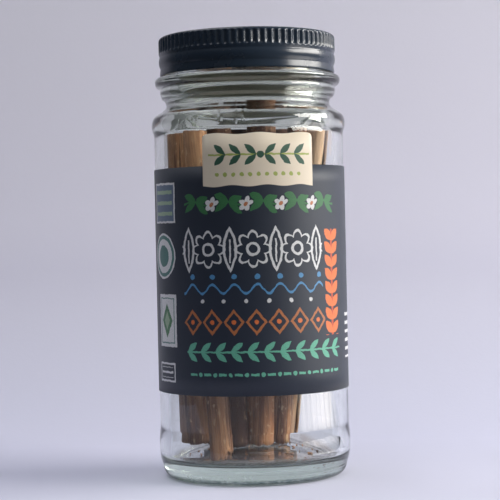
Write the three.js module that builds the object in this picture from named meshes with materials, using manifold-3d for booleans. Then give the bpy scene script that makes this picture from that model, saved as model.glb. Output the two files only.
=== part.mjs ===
// A clear glass spice jar with a black screw lid, a wrap-around label and
// cinnamon sticks standing inside. Millimetres, +Z up. The origin is the centre
// of the ring that the jar stands on, and the front of the label faces -Y.
import * as THREE from "three";
import { mergeVertices } from "three/addons/utils/BufferGeometryUtils.js";
import Module from "manifold-3d";

// ---------- driving dimensions ----------

const JAR = {
  bodyRadius: 23.6, // the straight panel that carries the label
  panelBottomZ: 12.6,
  panelTopZ: 84.3,
  wall: 2.4,
  heelRadius: 23.9, // a low ring just above the base
  heelZ: 7.8,
  standRadius: 20, // middle of the flat ring that it stands on
  standHalfWidth: 0.6,
  pushUp: 2.2, // hollow under the base
  floorEdge: 4.6, // inside floor at its rim
  floorRise: 1.1, // how far the floor domes up in the middle
  floorCorner: 2, // where the floor curves up into the wall
  shoulderRadius: 24.15,
  shoulderZ: 87.4,
  shoulderEdge: [22.6, 90.3], // radius and height where it has turned half way in
  neckRadius: 20.4,
  neckZ: 92.4,
  ringRadius: 21.95, // the lower ring of the neck
  ringZ: 95.4,
  beadRadius: 23.15, // the bead just below the lid
  beadZ: 98.3,
  finishRadius: 19.9, // the part of the neck inside the lid
  mouthRadius: 17.6,
  lipZ: 108.6,
  lipRound: 0.8,
};

const LID = {
  bottomZ: 99.8,
  topZ: 109.6,
  radius: 22.05, // over the flutes and over the lower bead
  sheet: 0.6,
  groove: 0.25, // how far the plain stretches lie inside that radius
  waistZ: 101.7,
  beadZ: 103.1,
  grooveZ: 104.6,
  flutes: 80,
  fluteDepth: 0.28,
  fluteBottomZ: 105.5,
  fluteTopZ: 108.4,
  flatRadius: 20, // where the top starts to round over
  recessRadius: 17, // a shallow pressed panel in the top
  recessDepth: 0.35,
};

const LABEL = {
  gap: 0.06, // between the glass and the paper
  thickness: 0.16,
  bottomZ: 21.7,
  topZ: 76.5,
  seam: 1.6, // bare strip between the two ends, at the back
  tabTopZ: 84,
  tabFrom: -27.7, // degrees from the front, towards +X
  tabTo: 39.4,
  tabCorner: 1.3,
  tabWave: 0.35,
};

// Each stick leans from its foot on the domed floor to its top. seam turns the
// rolled edge round the stick, and lift is how far a wedged stick hangs above
// the floor.
const STICKS = {
  left: { diameter: 8.0, foot: [-15.2, 6.4], top: [-16.9, 1.0, 86.6], seam: 250, lift: 1.4 },
  front: { diameter: 4.9, foot: [-7.8, -12.4], top: [-12.7, -11.0, 86.2], seam: 20 },
  inner: { diameter: 5.4, foot: [-4.6, 5.5], top: [-7.5, -1.0, 88.8], seam: 130 },
  back: { diameter: 6.0, foot: [-4.4, 13.0], top: [-3.0, 10.0, 89.0], seam: 60 },
  middle: { diameter: 6.5, foot: [1.2, 7.0], top: [3.4, 4.5, 91.5], seam: 135 },
  right: { diameter: 4.5, foot: [6.6, 9.6], top: [12.3, -1.0, 88.8], seam: 200 },
  leaning: { diameter: 5.6, foot: [8.2, 15.0], top: [17.8, 2.5, 87.0], seam: 340, lift: 2.2 },
  rearLeft: { diameter: 5.6, foot: [-10.8, 13.0], top: [-10.5, 8.5, 88.8], seam: 90 },
  rearRight: { diameter: 5.6, foot: [2.0, 15.2], top: [8.5, 11.5, 88.8], seam: 40 },
};
const STICK_GAP = 0.3; // between the feet and the glass

// The rolled section of a stick, in degrees and in shares of its radius.
const CURL = {
  fullTurn: 270, // the bark keeps the full radius up to here
  endTurn: 450,
  inward: 0.74, // how far its end has then curled in
  thickness: 0.26,
};

// A low prism behind the label joins the sticks. Its corners lie on the axes of
// these sticks at half height.
const CORE = {
  bottomZ: 34,
  topZ: 64,
  corners: ["front", "inner", "right", "leaning", "rearRight", "back", "rearLeft", "left"],
};

const JAR_SIDES = 48;
const JAR_CURVE_STEPS = 3; // points on each curved stretch of the profile
const LID_CURVE_STEPS = 2;
const LABEL_STEP = 4; // degrees
const CURL_STEP = 30; // degrees

// ---------- helpers ----------

const turned = (path, steps, sides) =>
  new THREE.LatheGeometry(path.getPoints(steps), sides).rotateX(Math.PI / 2);

function bare(geometry) {
  geometry.deleteAttribute("normal");
  geometry.deleteAttribute("uv");
  return mergeVertices(geometry);
}

// ---------- glass jar ----------

// Height of the domed inside floor at a distance from the axis.
const FLOOR_RADIUS = JAR.bodyRadius - JAR.wall - JAR.floorCorner;
const floorHeight = (radius) =>
  JAR.floorEdge + JAR.floorRise * (1 - (radius / FLOOR_RADIUS) ** 2);

function jarProfile() {
  const j = JAR;
  const inside = j.bodyRadius - j.wall;
  const path = new THREE.Path();
  // Underside, from the middle out to the ring that it stands on.
  path.moveTo(0, j.pushUp);
  path.quadraticCurveTo(0.7 * j.standRadius, j.pushUp, j.standRadius - j.standHalfWidth, 0);
  path.lineTo(j.standRadius + j.standHalfWidth, 0);
  // Heel and straight panel.
  path.quadraticCurveTo(j.heelRadius - 1.2, 0.3, j.heelRadius - 0.8, 3.2);
  path.quadraticCurveTo(j.heelRadius, j.heelZ - 2.8, j.heelRadius, j.heelZ);
  path.quadraticCurveTo(j.heelRadius, j.heelZ + 2.7, j.bodyRadius, j.panelBottomZ);
  path.lineTo(j.bodyRadius, j.panelTopZ);
  // The wall flares a little into the shoulder, which rounds over into the neck.
  const flareRadius = (j.bodyRadius + j.shoulderRadius) / 2;
  const flareZ = (j.panelTopZ + j.shoulderZ) / 2;
  path.quadraticCurveTo(j.bodyRadius, j.panelTopZ + 0.8, flareRadius, flareZ);
  path.quadraticCurveTo(j.shoulderRadius, j.shoulderZ - 0.8, j.shoulderRadius, j.shoulderZ);
  path.quadraticCurveTo(j.shoulderRadius, j.shoulderZ + 2.1, ...j.shoulderEdge);
  path.quadraticCurveTo(j.neckRadius, j.neckZ - 0.95, j.neckRadius, j.neckZ);
  // Neck ring and bead.
  path.quadraticCurveTo(j.neckRadius, j.neckZ + 1.3, j.ringRadius - 0.55, j.ringZ - 1.3);
  path.quadraticCurveTo(j.ringRadius + 0.2, j.ringZ, j.ringRadius - 0.2, j.ringZ + 1.3);
  path.quadraticCurveTo(j.beadRadius, j.beadZ - 1.4, j.beadRadius, j.beadZ);
  path.quadraticCurveTo(j.beadRadius, j.beadZ + 1.2, j.beadRadius - 1.95, j.beadZ + 1.2);
  // Plain stretch inside the lid, and the mouth.
  path.lineTo(j.finishRadius, j.beadZ + 1.9);
  path.lineTo(j.finishRadius, j.lipZ - j.lipRound);
  path.quadraticCurveTo(j.finishRadius, j.lipZ, j.finishRadius - j.lipRound, j.lipZ);
  path.lineTo(j.mouthRadius + j.lipRound, j.lipZ);
  path.quadraticCurveTo(j.mouthRadius, j.lipZ, j.mouthRadius, j.lipZ - j.lipRound);
  // Inside: neck, shoulder, wall and the domed floor.
  path.lineTo(j.mouthRadius, j.neckZ + 0.2);
  path.quadraticCurveTo(j.mouthRadius, j.neckZ - 1.8, j.mouthRadius + 1.6, j.neckZ - 2.8);
  path.quadraticCurveTo(inside, j.shoulderZ + 0.8, inside, j.shoulderZ - 1.8);
  path.lineTo(inside, j.floorEdge + j.floorCorner);
  path.quadraticCurveTo(inside, j.floorEdge, FLOOR_RADIUS, j.floorEdge);
  path.quadraticCurveTo(FLOOR_RADIUS / 2, floorHeight(0), 0, floorHeight(0));
  return path;
}

// ---------- lid ----------

function lidProfile() {
  const l = LID;
  const plain = l.radius - l.groove;
  const inner = plain - l.sheet;
  const ceiling = l.topZ - l.recessDepth - l.sheet;
  const path = new THREE.Path();
  // Inside, from the middle of the ceiling down to the rolled lower edge.
  path.moveTo(0, ceiling);
  path.lineTo(inner - 0.6, ceiling);
  path.lineTo(inner, ceiling - 0.8);
  path.lineTo(inner - 0.1, l.bottomZ + 0.4);
  path.lineTo(inner + 0.1, l.bottomZ);
  // Outside: rolled edge, waist, lower bead and groove.
  path.quadraticCurveTo(l.radius - 0.1, l.bottomZ, plain, l.bottomZ + 0.6);
  path.lineTo(plain - 0.15, l.waistZ);
  path.quadraticCurveTo(l.radius + 0.3, l.beadZ, plain, l.grooveZ);
  // Fluted band, rounded over into the top.
  path.lineTo(l.radius, l.fluteBottomZ);
  path.lineTo(l.radius, l.fluteTopZ);
  path.lineTo(l.radius - 0.35, l.fluteTopZ + 0.7);
  path.lineTo(l.flatRadius, l.topZ);
  // Top with its pressed panel.
  path.lineTo(l.recessRadius + 0.5, l.topZ);
  path.lineTo(l.recessRadius, l.topZ - l.recessDepth);
  path.lineTo(0, l.topZ - l.recessDepth);
  return path;
}

// Every second column of the band is pushed in, which leaves one flute each.
function fluted(geometry) {
  const { flutes, fluteDepth, fluteBottomZ, fluteTopZ } = LID;
  const position = geometry.getAttribute("position");
  const point = new THREE.Vector3();
  for (let i = 0; i < position.count; i++) {
    point.fromBufferAttribute(position, i);
    const column = Math.round((Math.atan2(point.x, -point.y) * flutes) / Math.PI);
    const inBand = point.z > fluteBottomZ - 0.01 && point.z < fluteTopZ + 0.01;
    if (!inBand || column % 2 === 0) continue;
    const radius = Math.hypot(point.x, point.y);
    const scale = (radius - fluteDepth) / radius;
    position.setXY(i, point.x * scale, point.y * scale);
  }
  return geometry;
}

// ---------- label ----------

// Height of the label's upper edge at an angle from the front.
function labelTop(angle) {
  const { tabFrom, tabTo, tabTopZ, tabCorner, tabWave, topZ } = LABEL;
  if (angle <= tabFrom || angle >= tabTo) return topZ;
  const arc = THREE.MathUtils.degToRad(Math.min(angle - tabFrom, tabTo - angle)) * JAR.bodyRadius;
  const inCorner = Math.max(tabCorner - arc, 0);
  const rounding = tabCorner - Math.sqrt(tabCorner ** 2 - inCorner ** 2);
  return tabTopZ - rounding + tabWave * Math.sin(THREE.MathUtils.degToRad(angle * 9));
}

function labelAngles() {
  const { seam, tabFrom, tabTo } = LABEL;
  const end = 180 - THREE.MathUtils.radToDeg(seam / 2 / JAR.bodyRadius);
  const count = Math.round((2 * end) / LABEL_STEP);
  const even = Array.from({ length: count + 1 }, (_, i) => -end + (2 * end * i) / count);
  // Close columns draw the tab's upright edges and its round corners.
  const offsets = [0, 0.05, 0.4, 1, 2, 3.1];
  const extra = offsets.flatMap((offset) => [tabFrom + offset, tabTo - offset]);
  const middle = offsets.at(-1) / 2;
  const nearTab = (angle) =>
    [angle - tabFrom, tabTo - angle].some((offset) => Math.abs(offset - middle) < LABEL_STEP / 2);
  return [...even.filter((angle) => !nearTab(angle)), ...extra].sort((a, b) => a - b);
}

function labelGeometry() {
  const inner = JAR.bodyRadius + LABEL.gap;
  const outer = inner + LABEL.thickness;
  const corners = labelAngles().map((angle) => {
    const turn = THREE.MathUtils.degToRad(angle);
    const at = (radius, z) => [radius * Math.sin(turn), -radius * Math.cos(turn), z];
    const top = labelTop(angle);
    const low = LABEL.bottomZ;
    return [at(inner, low), at(outer, low), at(outer, top), at(inner, top)];
  });
  const last = corners.length - 1;
  const geometry = new THREE.BufferGeometry();
  const index = [];
  for (let i = 0; i < last; i++) {
    for (let j = 0; j < 4; j++) {
      const k = (j + 1) % 4;
      const [a, b, c, d] = [4 * i + j, 4 * i + 4 + j, 4 * i + 4 + k, 4 * i + k];
      index.push(a, b, c, a, c, d);
    }
  }
  const end = [0, 3, 2, 0, 2, 1].map((corner) => 4 * last + corner);
  index.push(0, 1, 2, 0, 2, 3, ...end);
  geometry.setAttribute("position", new THREE.Float32BufferAttribute(corners.flat(2), 3));
  geometry.setIndex(index);
  return geometry;
}

// ---------- cinnamon sticks ----------

// Bark rolled into a tube: it runs round at full size for three quarters of a
// turn, then curls in under its own edge.
function curlSection(radius) {
  const { thickness, fullTurn, endTurn, inward } = CURL;
  const at = (angle, inset) => {
    const turn = THREE.MathUtils.degToRad(angle);
    const curled = Math.max(0, (angle - fullTurn) / (endTurn - fullTurn));
    const out = radius * (1 - inward * curled - inset);
    return new THREE.Vector2(out * Math.cos(turn), out * Math.sin(turn));
  };
  const angles = Array.from({ length: endTurn / CURL_STEP + 1 }, (_, i) => i * CURL_STEP);
  const outside = angles.map((angle) => at(angle, 0));
  const inside = angles.map((angle) => at(angle, thickness)).reverse();
  return new THREE.Shape([...outside, ...inside]);
}

function stickGeometry({ diameter, foot, top, seam, lift = 0 }) {
  const nearAxis = Math.max(0, Math.hypot(...foot) - diameter / 2);
  const from = new THREE.Vector3(...foot, floorHeight(nearAxis) + STICK_GAP + lift);
  const axis = new THREE.Vector3(...top).sub(from);
  const up = new THREE.Vector3(0, 0, 1);
  const lean = new THREE.Quaternion().setFromUnitVectors(up, axis.clone().normalize());
  return new THREE.ExtrudeGeometry(curlSection(diameter / 2), {
    depth: axis.length(),
    bevelEnabled: false,
  })
    .rotateZ(THREE.MathUtils.degToRad(seam))
    .applyQuaternion(lean)
    .translate(...from);
}

function coreGeometry() {
  const outline = CORE.corners.map((name) => {
    const { foot, top } = STICKS[name];
    return new THREE.Vector2((foot[0] + top[0]) / 2, (foot[1] + top[1]) / 2);
  });
  const depth = CORE.topZ - CORE.bottomZ;
  return new THREE.ExtrudeGeometry(new THREE.Shape(outline), { depth, bevelEnabled: false })
    .translate(0, 0, CORE.bottomZ);
}

function joined(geometries, { Manifold, Mesh }) {
  const solids = geometries.map(bare).map((geometry) => {
    const vertProperties = new Float32Array(geometry.getAttribute("position").array);
    const triVerts = new Uint32Array(geometry.getIndex().array);
    return new Manifold(new Mesh({ numProp: 3, vertProperties, triVerts }));
  });
  const mesh = solids.reduce((sum, solid) => sum.add(solid)).getMesh();
  const geometry = new THREE.BufferGeometry();
  geometry.setAttribute("position", new THREE.BufferAttribute(mesh.vertProperties, 3));
  geometry.setIndex(new THREE.BufferAttribute(mesh.triVerts, 1));
  return geometry;
}

// ---------- materials and assembly ----------

const finish = (color, roughness, metalness = 0, options = {}) =>
  new THREE.MeshStandardMaterial({ color, roughness, metalness, ...options });

const clearGlass = finish(0xc9d6d0, 0.04, 0, { transparent: true, opacity: 0.25 });
const blackLacquer = finish(0x191e26, 0.28, 0.3);
const labelPaper = finish(0x1d232d, 0.5);
const bark = finish(0x9a6a45, 0.85);

const manifold = await Module();
manifold.setup();

const jar = new THREE.Group();
const add = (name, geometry, material) => {
  const mesh = new THREE.Mesh(geometry, material);
  mesh.name = name;
  jar.add(mesh);
};

add("jar", turned(jarProfile(), JAR_CURVE_STEPS, JAR_SIDES), clearGlass);
add("lid", fluted(turned(lidProfile(), LID_CURVE_STEPS, 2 * LID.flutes)), blackLacquer);
add("label", labelGeometry(), labelPaper);
const sticks = Object.values(STICKS).map(stickGeometry);
add("cinnamon_sticks", joined([...sticks, coreGeometry()], manifold), bark);

export default jar;
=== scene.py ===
# %% [markdown]
# # A spice jar of cinnamon sticks
#
# The object is a small clear glass jar with a black screw lid. A dark paper
# label wraps round it, with a cream tab that rises above the label's edge, and
# rolled cinnamon sticks stand inside. The solids of the part are loaded first,
# as a fixed frame. Everything made here is fitted to that frame, in metres,
# with +Z up and the front of the label facing -Y.

# %% Load the frame
import math

import bpy
import numpy as np
from mathutils import Euler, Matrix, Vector


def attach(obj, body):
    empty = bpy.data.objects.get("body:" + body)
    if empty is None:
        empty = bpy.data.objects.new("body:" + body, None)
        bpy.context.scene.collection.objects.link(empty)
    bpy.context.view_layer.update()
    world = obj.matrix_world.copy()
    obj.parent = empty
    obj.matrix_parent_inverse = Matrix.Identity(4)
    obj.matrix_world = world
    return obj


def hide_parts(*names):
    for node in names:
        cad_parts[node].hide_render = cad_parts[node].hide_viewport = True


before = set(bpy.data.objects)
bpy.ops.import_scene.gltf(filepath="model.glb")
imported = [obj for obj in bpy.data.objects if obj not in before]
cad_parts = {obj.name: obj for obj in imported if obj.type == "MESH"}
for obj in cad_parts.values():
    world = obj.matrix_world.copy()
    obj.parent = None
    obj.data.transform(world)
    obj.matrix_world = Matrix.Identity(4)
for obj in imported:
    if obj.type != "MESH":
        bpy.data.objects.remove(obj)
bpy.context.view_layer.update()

MM = 0.001
print("nodes:", sorted(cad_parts))

# %% [markdown]
# ## Camera
#
# A long lens from about 40 cm away keeps the sides of the jar nearly parallel.
# The eye is just above the middle of the jar, so the lid is seen from below and
# the floor of the jar from above. The camera is rolled a little, as a hand-held
# one is.

# %% Camera
EYE_DISTANCE = 405 * MM  # from the jar's axis
EYE_HEIGHT = 59.9 * MM
AIM = Vector((-0.23 * MM, 0, 56.14 * MM))  # what lies in the middle of the picture
ROLL = math.radians(-1.25)
LENS = 116.2  # millimetres, on a 36 mm sensor

camera_data = bpy.data.cameras.new("camera")
camera_data.lens = LENS
camera_data.sensor_width = 36
camera_data.clip_start = 0.01
camera = bpy.data.objects.new("camera", camera_data)
camera.location = (AIM.x, -EYE_DISTANCE, EYE_HEIGHT)
look = (AIM - camera.location).to_track_quat("-Z", "Y")
camera.rotation_euler = (look.to_matrix() @ Euler((0, 0, ROLL)).to_matrix()).to_euler()
bpy.context.collection.objects.link(camera)
bpy.context.scene.camera = camera
print("camera at", [round(v, 4) for v in camera.location])

# %% [markdown]
# ## Small helpers
#
# Two things are needed again and again. `make_mesh` turns arrays of points and
# faces into an object. `Wire` is one number inside a node tree: wires add,
# multiply and compare like plain numbers, and each step becomes a Math node, so
# that a pattern reads as a formula. It works in shader trees and in Geometry
# Nodes alike.

# %% Meshes from arrays
def make_mesh(name, points, faces):
    mesh = bpy.data.meshes.new(name)
    mesh.from_pydata([tuple(p) for p in points], [], [tuple(f) for f in faces])
    mesh.shade_smooth()
    mesh.validate()
    obj = bpy.data.objects.new(name, mesh)
    bpy.context.collection.objects.link(obj)
    return obj


def report(obj):
    sizes = [round(v / MM, 2) for v in obj.dimensions]
    triangles = sum(len(face.vertices) - 2 for face in obj.data.polygons)
    print(f"{obj.name}: {triangles} triangles, {sizes} mm")


# %% Formulas in node trees
class Wire:
    """A number in a node tree that can be used in a formula."""

    def __init__(self, tree, socket):
        self.tree = tree
        self.socket = socket

    def then(self, operation, *values, clamp=False):
        return formula(self.tree, operation, self, *values, clamp=clamp)

    def __add__(self, other):
        return self.then("ADD", other)

    def __sub__(self, other):
        return self.then("SUBTRACT", other)

    def __mul__(self, other):
        return self.then("MULTIPLY", other)

    def __truediv__(self, other):
        return self.then("DIVIDE", other)

    def __rsub__(self, other):
        return formula(self.tree, "SUBTRACT", other, self)

    def __abs__(self):
        return self.then("ABSOLUTE")

    __radd__ = __add__
    __rmul__ = __mul__


def feed(tree, socket, value):
    if isinstance(value, Wire):
        tree.links.new(value.socket, socket)
    elif isinstance(value, bpy.types.NodeSocket):
        tree.links.new(value, socket)
    else:
        socket.default_value = value


def formula(tree, operation, *values, clamp=False):
    node = tree.nodes.new("ShaderNodeMath")
    node.operation = operation
    node.use_clamp = clamp
    for socket, value in zip(node.inputs, values):
        feed(tree, socket, value)
    return Wire(tree, node.outputs[0])


def ramp(wire, low, high, start=0.0, end=1.0, smooth=True):
    """start where the wire is below low, end above high, and a blend between."""
    node = wire.tree.nodes.new("ShaderNodeMapRange")
    node.interpolation_type = "SMOOTHSTEP" if smooth else "LINEAR"
    for name, value in zip(("Value", "From Min", "From Max", "To Min", "To Max"),
                           (wire, low, high, start, end)):
        feed(wire.tree, node.inputs[name], value)
    return Wire(wire.tree, node.outputs["Result"])


def split(tree, vector):
    node = tree.nodes.new("ShaderNodeSeparateXYZ")
    feed(tree, node.inputs[0], vector)
    return [Wire(tree, socket) for socket in node.outputs]


def distance(x, y):
    """The distance of the point x, y from the origin."""
    return (x * x + y * y).then("SQRT")


def combine(tree, x, y, z):
    node = tree.nodes.new("ShaderNodeCombineXYZ")
    for socket, value in zip(node.inputs, (x, y, z)):
        feed(tree, socket, value)
    return node.outputs[0]


def noise(tree, vector, scale, detail=3.0, roughness=0.5):
    node = tree.nodes.new("ShaderNodeTexNoise")
    feed(tree, node.inputs["Vector"], vector)
    for name, value in (("Scale", scale), ("Detail", detail), ("Roughness", roughness)):
        feed(tree, node.inputs[name], value)
    return Wire(tree, node.outputs["Fac"])


def blend_colours(tree, mask, below, above):
    node = tree.nodes.new("ShaderNodeMix")
    node.data_type = "RGBA"
    feed(tree, node.inputs["Factor"], mask)
    for name, value in (("A", below), ("B", above)):
        socket = [s for s in node.inputs if s.name == name and s.type == "RGBA"][0]
        feed(tree, socket, value)
    return [s for s in node.outputs if s.type == "RGBA"][0]


def srgb(red, green, blue):
    """A colour given in screen values, as the linear one that Blender uses."""
    def linear(value):
        value /= 255
        return value / 12.92 if value <= 0.04045 else ((value + 0.055) / 1.055) ** 2.4
    return (linear(red), linear(green), linear(blue), 1.0)


# %% Materials
def new_material(name, **values):
    """A material with one Principled shader, set to these values."""
    material = bpy.data.materials.new(name)
    material.use_nodes = True
    tree = material.node_tree
    shader = tree.nodes["Principled BSDF"]
    for key, value in values.items():
        shader.inputs[key.replace("_", " ").title().replace("Ior", "IOR")].default_value = value
    return material, tree, shader


def own_place(tree):
    return tree.nodes.new("ShaderNodeTexCoord").outputs["Object"]


def choose_shader(tree, mask, first, second):
    """The surface shows the first shader where the mask is 0, the second where it is 1."""
    node = tree.nodes.new("ShaderNodeMixShader")
    feed(tree, node.inputs[0], mask)
    tree.links.new(first.outputs[0], node.inputs[1])
    tree.links.new(second.outputs[0], node.inputs[2])
    tree.links.new(node.outputs[0], tree.nodes["Material Output"].inputs["Surface"])


def emboss(tree, shader, height, depth):
    """Lets a height between 0 and 1 disturb the shader's normal, depth metres high."""
    bump = tree.nodes.new("ShaderNodeBump")
    bump.inputs["Distance"].default_value = depth
    feed(tree, bump.inputs["Height"], height)
    tree.links.new(bump.outputs[0], shader.inputs["Normal"])


# %% [markdown]
# No real surface is even. Glass, lacquer, paper and card all have a fine
# grain, and hands leave dull smears and specks on lacquer and paper. The two
# effects serve several materials, so each is built once, as a node group, and
# placed with values of its own.

# %% Shared effects
def new_group(name, kind, inputs, outputs):
    """An empty node group, and its input and output nodes. A socket is given by
    its label, its kind and, if it has one, its plain value."""
    tree = bpy.data.node_groups.new(name, kind + "NodeTree")
    for side, sockets in (("INPUT", inputs), ("OUTPUT", outputs)):
        for label, socket_kind, *value in sockets:
            socket = tree.interface.new_socket(
                label, in_out=side, socket_type="NodeSocket" + socket_kind)
            if value:
                socket.default_value = value[0]
    return tree, tree.nodes.new("NodeGroupInput"), tree.nodes.new("NodeGroupOutput")


def wires(tree, node, *names):
    """These outputs of a node, for use in formulas."""
    return [Wire(tree, node.outputs[name]) for name in names]


def place_effect(tree, effect, **values):
    node = tree.nodes.new("ShaderNodeGroup")
    node.node_tree = effect
    for key, value in values.items():
        feed(tree, node.inputs[key.replace("_", " ").capitalize()], value)
    return [Wire(tree, socket) for socket in node.outputs]


grain, inside, outside = new_group(
    "fine grain", "Shader",
    [("Place", "Vector"), ("Scale", "Float", 2000.0), ("Coarse share", "Float", 0.4)],
    [("Height", "Float")])
place, scale, share = wires(grain, inside, "Place", "Scale", "Coarse share")
fine, coarse = noise(grain, place, scale), noise(grain, place, scale * 0.23)
feed(grain, outside.inputs["Height"], fine + (coarse - fine) * share)

handling, inside, outside = new_group(
    "handling marks", "Shader",
    [("Place", "Vector"), ("Amount", "Float", 0.5)],
    [("Dull", "Float"), ("Speck", "Float")])
place, amount = wires(handling, inside, "Place", "Amount")
smears = ramp(noise(handling, place, 60, 5, 0.62), 0.46, 0.68)
specks = ramp(noise(handling, place, 900, 2), 0.7, 0.76)
feed(handling, outside.inputs["Dull"], smears * amount)
feed(handling, outside.inputs["Speck"], specks * amount)


def add_grain(tree, shader, place, scale, coarse_share, depth):
    """Embosses the shader with fine grain, and returns the grain's height."""
    height, = place_effect(tree, grain, place=place, scale=scale, coarse_share=coarse_share)
    emboss(tree, shader, height, depth)
    return height


# %% Trees for modifiers
def new_modifier_tree(name, *inputs):
    """A Geometry Nodes tree with these sockets, and one for the material."""
    return new_group(name, "Geometry",
                     [("Geometry", "Geometry"), *inputs, ("Material", "Material")],
                     [("Geometry", "Geometry")])


def position(tree):
    return tree.nodes.new("GeometryNodeInputPosition").outputs[0]


def displace(tree, geometry, **where):
    """Moves the points: by an offset, or to a position."""
    node = tree.nodes.new("GeometryNodeSetPosition")
    tree.links.new(geometry, node.inputs["Geometry"])
    for name, value in where.items():
        feed(tree, node.inputs[name.capitalize()], value)
    return node.outputs[0]


def remember(tree, geometry, name, kind, value):
    """Stores a value at each point, for the material to read."""
    node = tree.nodes.new("GeometryNodeStoreNamedAttribute")
    node.data_type = kind
    node.inputs["Name"].default_value = name
    tree.links.new(geometry, node.inputs["Geometry"])
    feed(tree, node.inputs["Value"], value)
    return node.outputs[0]


def finish_tree(tree, geometry, material, output):
    real = tree.nodes.new("GeometryNodeRealizeInstances")
    paint = tree.nodes.new("GeometryNodeSetMaterial")
    tree.links.new(geometry, real.inputs[0])
    tree.links.new(real.outputs[0], paint.inputs["Geometry"])
    feed(tree, paint.inputs["Material"], material)
    tree.links.new(paint.outputs[0], output.inputs[0])


def grow(obj, tree, values, extra=None):
    """Runs the tree on the object and keeps the result as its plain mesh."""
    if not obj.data.materials:
        obj.data.materials.append(values["Material"])
    modifier = obj.modifiers.new(tree.name, "NODES")
    modifier.node_group = tree
    for item in tree.interface.items_tree:
        if item.item_type == "SOCKET" and item.in_out == "INPUT" and item.name in values:
            modifier[item.identifier] = values[item.name]
    if extra:
        extra(obj)
    graph = bpy.context.evaluated_depsgraph_get()
    mesh = bpy.data.meshes.new_from_object(obj.evaluated_get(graph))
    obj.modifiers.clear()
    obj.data = mesh
    return obj


def stand_for(obj, node):
    """The piece moves with the jar, hides the solid and reports its size."""
    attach(obj, "root")
    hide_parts(node)
    report(obj)


# %% [markdown]
# ## Glass jar
#
# The jar is one turned shape with an outside and an inside. Its outline is the
# same as the solid's, with more points on each curve. A glass wall needs both
# of its faces, because light bends at each of them, so the outline runs up the
# outside, over the lip, down the inside and across the floor.
#
# The mould leaves marks on a real jar: a fine ridge on the shoulder where its
# halves met, and small raised dots. They are so small that the columns of the
# mesh are drawn closer together where they sit, and stay far apart elsewhere.

# %% Turned shapes
CLOSE = 0.12  # millimetres, from the end of a straight stretch to its next point


def trace(start, *steps, curved=0.5, straight=4.0):
    """Points along an outline in millimetres: a pair is a straight line to that
    point, four numbers are a curve with one control point. curved and straight
    are the distances between points. A straight stretch has a point close to
    each of its ends, so that smooth shading doesn't round it."""
    points = [np.array(start, float)]
    for step in steps:
        begin, end = points[-1], np.array(step[-2:], float)
        is_curve = len(step) == 4
        control = np.array(step[:2], float) if is_curve else (begin + end) / 2
        length = np.linalg.norm(control - begin) + np.linalg.norm(end - control)
        shares = np.linspace(0, 1, math.ceil(length / (curved if is_curve else straight)) + 1)
        if not is_curve and length > 6 * CLOSE:
            shares = np.sort(np.append(shares, [CLOSE / length, 1 - CLOSE / length]))
        for t in shares[1:]:
            points.append((1 - t) ** 2 * begin + 2 * t * (1 - t) * control + t * t * end)
    return np.array(points) * MM


def turn(name, outline, angles):
    """A closed turned mesh with a column at each angle from the front. The
    outline starts and ends on the axis."""
    rings = outline[1:-1]
    sides = len(angles)
    x = np.outer(rings[:, 0], np.sin(angles))
    y = np.outer(rings[:, 0], -np.cos(angles))
    z = np.repeat(rings[:, 1:], sides, axis=1)
    points = np.stack([x, y, z], axis=-1).reshape(-1, 3)
    low, high = len(points), len(points) + 1
    points = np.vstack([points, (0, 0, outline[0, 1]), (0, 0, outline[-1, 1])])
    last = (len(rings) - 1) * sides
    faces = []
    for j in range(sides):
        k = (j + 1) % sides
        faces += [(low, k, j), (high, last + j, last + k)]
        for a in range(0, last, sides):
            faces.append((a + j, a + k, a + sides + k, a + sides + j))
    return make_mesh(name, points, faces)


def even_angles(count):
    return np.arange(count) * 2 * np.pi / count


# %% The jar's outline
# Millimetres: radii and heights.
HOLLOW = 2.2  # how far the base is hollowed out underneath
INSIDE = 21.2  # radius of the inside
FLOOR_EDGE, FLOOR_RISE, FLOOR_RADIUS = 4.6, 1.1, 19.2  # of the domed glass floor
SHOULDER_LOW = 86  # where the glass starts to be wavier and duller
JAR_OUTLINE = [
    (14, HOLLOW, 19.4, 0),  # hollow under the base
    (20.6, 0),
    (22.7, 0.3, 23.1, 3.2),  # heel
    (23.9, 5, 23.9, 7.8),
    (23.9, 10.5, 23.6, 12.6),
    (23.6, 84.3),
    (23.6, 85.1, 23.875, 85.85),  # flare and shoulder
    (24.15, 86.6, 24.15, 87.4),
    (24.15, 89.5, 22.6, 90.3),
    (20.4, 91.45, 20.4, 92.4),
    (20.4, 93.7, 21.4, 94.1),  # neck ring and bead
    (22.15, 95.4, 21.75, 96.7),
    (23.15, 96.9, 23.15, 98.3),
    (23.15, 99.5, 21.2, 99.5),
    (19.9, 100.2),
    (19.9, 107.8),
    (19.9, 108.6, 19.1, 108.6),  # lip
    (18.4, 108.6),
    (17.6, 108.6, 17.6, 107.8),
    (17.6, 92.6),
    (17.6, 90.6, 19.2, 89.6),  # inside of the shoulder
    (INSIDE, 88.2, INSIDE, 85.6),
    (INSIDE, FLOOR_EDGE + 2),
    (INSIDE, FLOOR_EDGE, FLOOR_RADIUS, FLOOR_EDGE),  # floor
    (FLOOR_RADIUS / 2, FLOOR_EDGE + FLOOR_RISE, 0, FLOOR_EDGE + FLOOR_RISE),
]
MOULD_DOTS = [(-45.3, 89.6), (-43.2, 87.6), (-34, 87.9), (-16.7, 89.8),
              (-16.9, 87.9), (-3, 89.5), (-3.2, 87.9)]  # degrees, millimetres up
DOT_RADIUS, DOT_HEIGHT = 0.34 * MM, 0.1 * MM
SEAMS = (-7.5, 172.5)  # degrees from the front
SEAM_WIDTH, SEAM_HEIGHT, SEAM_FROM = 0.3 * MM, 0.07 * MM, 87 * MM
NECK_RADIUS = 20.4 * MM  # no mark lies further in
COLUMNS = 220  # round the jar, apart from the close ones at the marks


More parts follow.
